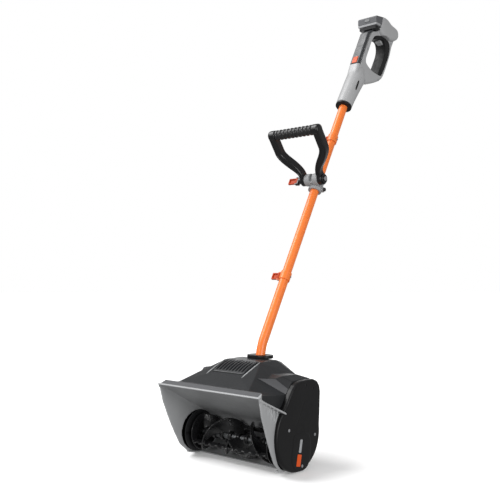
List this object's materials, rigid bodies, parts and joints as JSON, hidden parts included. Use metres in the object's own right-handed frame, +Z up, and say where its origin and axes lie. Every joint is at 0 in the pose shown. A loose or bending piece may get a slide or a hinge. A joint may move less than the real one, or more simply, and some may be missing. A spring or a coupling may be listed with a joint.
{
  "type": "battery single stage snowblower",
  "caption": "Push snow thrower with a grey scoop, belt-driven auger, lean-back sectional shaft, tilting front grip and rear loop handle with battery.",
  "frame": {"origin": "middle of the resting face under the auger chamber, on the ground", "axes": "+X to the belt side, -Y the way the scoop faces, +Z up"},
  "size_m": [0.332, 0.911, 1.311],
  "materials": {
    "scoop_plastic": "satin moulded grey",
    "cowl_plastic": "satin moulded charcoal",
    "cover_plastic": "satin moulded black",
    "auger_plastic": "moulded black",
    "steel": "turned",
    "alloy": "cast",
    "orange_paint": "powder coated",
    "orange_plastic": "moulded",
    "grey_plastic": "satin moulded light grey",
    "bracket_plastic": "moulded grey",
    "frame_plastic": "moulded black",
    "grip_rubber": "soft",
    "strip_plastic": "satin moulded dark grey",
    "battery_plastic": "satin moulded dark grey",
    "battery_trim": "moulded grey",
    "belt_rubber": "ribbed",
    "board": "coated circuit board",
    "lead_jacket": "smooth",
    "contact_brass": "plated"
  },
  "bodies": {
    "machine": {"scoop": "scoop_plastic", "end_plate_left": "cover_plastic", "end_plate_right": "cover_plastic", "bearing_left": "steel", "bearing_right": "steel", "skid_plate": "cover_plastic", "cowl": "cowl_plastic", "vent_grille": "cowl_plastic", "side_cover_left": "cover_plastic", "side_cover_right": "cover_plastic", "backplate_left": "cover_plastic", "backplate_right": "cover_plastic", "side_badge": "orange_plastic", "side_label": "battery_trim", "cover_screws": "steel", "drive_belt": "belt_rubber", "motor": "alloy", "motor_mount": "alloy", "motor_connector": "cover_plastic", "tube_collar": "cover_plastic", "lower_tube": "orange_paint", "middle_tube": "orange_paint", "upper_tube": "orange_paint", "joint_sleeves": "orange_paint", "joint_bolts": "steel", "power_lead": "lead_jacket", "lever_pins": "steel", "handle_left": "grey_plastic", "handle_right": "grey_plastic", "nose_ring": "cover_plastic", "grip_lining": "grip_rubber", "top_strip": "strip_plastic", "trigger_pin": "steel", "trigger_spring": "steel", "trigger_switch": "cover_plastic", "controller": "board", "handle_screws": "steel", "battery_terminals": "contact_brass"},
    "auger": {"auger_rotor": "auger_plastic", "auger_shaft": "steel", "driven_pulley": "auger_plastic"},
    "motor_rotor": {"motor_shaft": "steel", "drive_pulley": "alloy", "cooling_fan": "auger_plastic"},
    "lower_lever": {"lower_lever": "orange_plastic"},
    "upper_lever": {"upper_lever": "orange_plastic"},
    "grip_clamp": {"grip_bracket": "bracket_plastic", "grip_bolt": "steel", "cam_washer": "frame_plastic", "clamp_screw": "frame_plastic", "grip_lever_pin": "frame_plastic", "pivot_boss": "frame_plastic"},
    "front_grip": {"grip_frame": "frame_plastic", "grip_sleeve": "grip_rubber"},
    "grip_cam": {"grip_lever": "orange_plastic"},
    "lock_button": {"lock_button": "orange_plastic"},
    "trigger": {"trigger": "grey_plastic"},
    "battery": {"battery_case": "battery_plastic", "battery_base": "battery_trim"},
    "battery_latch": {"battery_latch": "battery_trim"}
  },
  "joints": [
    {"name": "auger_spin", "type": "hinge", "parent": "machine", "child": "auger", "pos_m": [0, -0.05, 0.061], "axis": [1, 0, 0], "continuous": true},
    {"name": "motor_spin", "type": "hinge", "parent": "machine", "child": "motor_rotor", "pos_m": [0, 0.016, 0.174], "axis": [1, 0, 0], "continuous": true},
    {"name": "lower_lever_swing", "type": "hinge", "parent": "machine", "child": "lower_lever", "pos_m": [-0.0205, 0.13822, 0.46369], "axis": [0, 0.4955, 0.8686], "range_deg": [0, 90]},
    {"name": "upper_lever_swing", "type": "hinge", "parent": "machine", "child": "upper_lever", "pos_m": [-0.0205, 0.37109, 0.87195], "axis": [0, 0.4955, 0.8686], "range_deg": [0, 90]},
    {"name": "grip_slide", "type": "slide", "parent": "machine", "child": "grip_clamp", "axis": [0, 0.4955, 0.8686], "range_m": [-0.15, 0.06]},
    {"name": "grip_tilt", "type": "hinge", "parent": "grip_clamp", "child": "front_grip", "pos_m": [0, 0.272, 0.741], "axis": [1, 0, 0], "range_deg": [-45, 70]},
    {"name": "grip_cam_swing", "type": "hinge", "parent": "grip_clamp", "child": "grip_cam", "pos_m": [-0.057, 0.27201, 0.74104], "axis": [0, 0.4955, 0.8686], "range_deg": [0, 90]},
    {"name": "lock_press", "type": "slide", "parent": "machine", "child": "lock_button", "axis": [0, 0.8686, -0.4955], "range_m": [0, 0.0025], "stiffness_N_per_m": 500},
    {"name": "trigger_pull", "type": "hinge", "parent": "machine", "child": "trigger", "pos_m": [0, 0.66624, 1.25619], "axis": [1, 0, 0], "range_deg": [0, 10], "stiffness_Nm_per_rad": 0.6, "springref_deg": -5.73},
    {"name": "battery_slide", "type": "slide", "parent": "machine", "child": "battery", "axis": [0, -1, 0], "range_m": [0, 0.1]},
    {"name": "latch_press", "type": "slide", "parent": "battery", "child": "battery_latch", "axis": [0, 1, 0], "range_m": [0, 0.002], "stiffness_N_per_m": 500}
  ],
  "couplings": [
    {"joint": "motor_spin", "follows": "auger_spin", "ratio": 4}
  ]
}
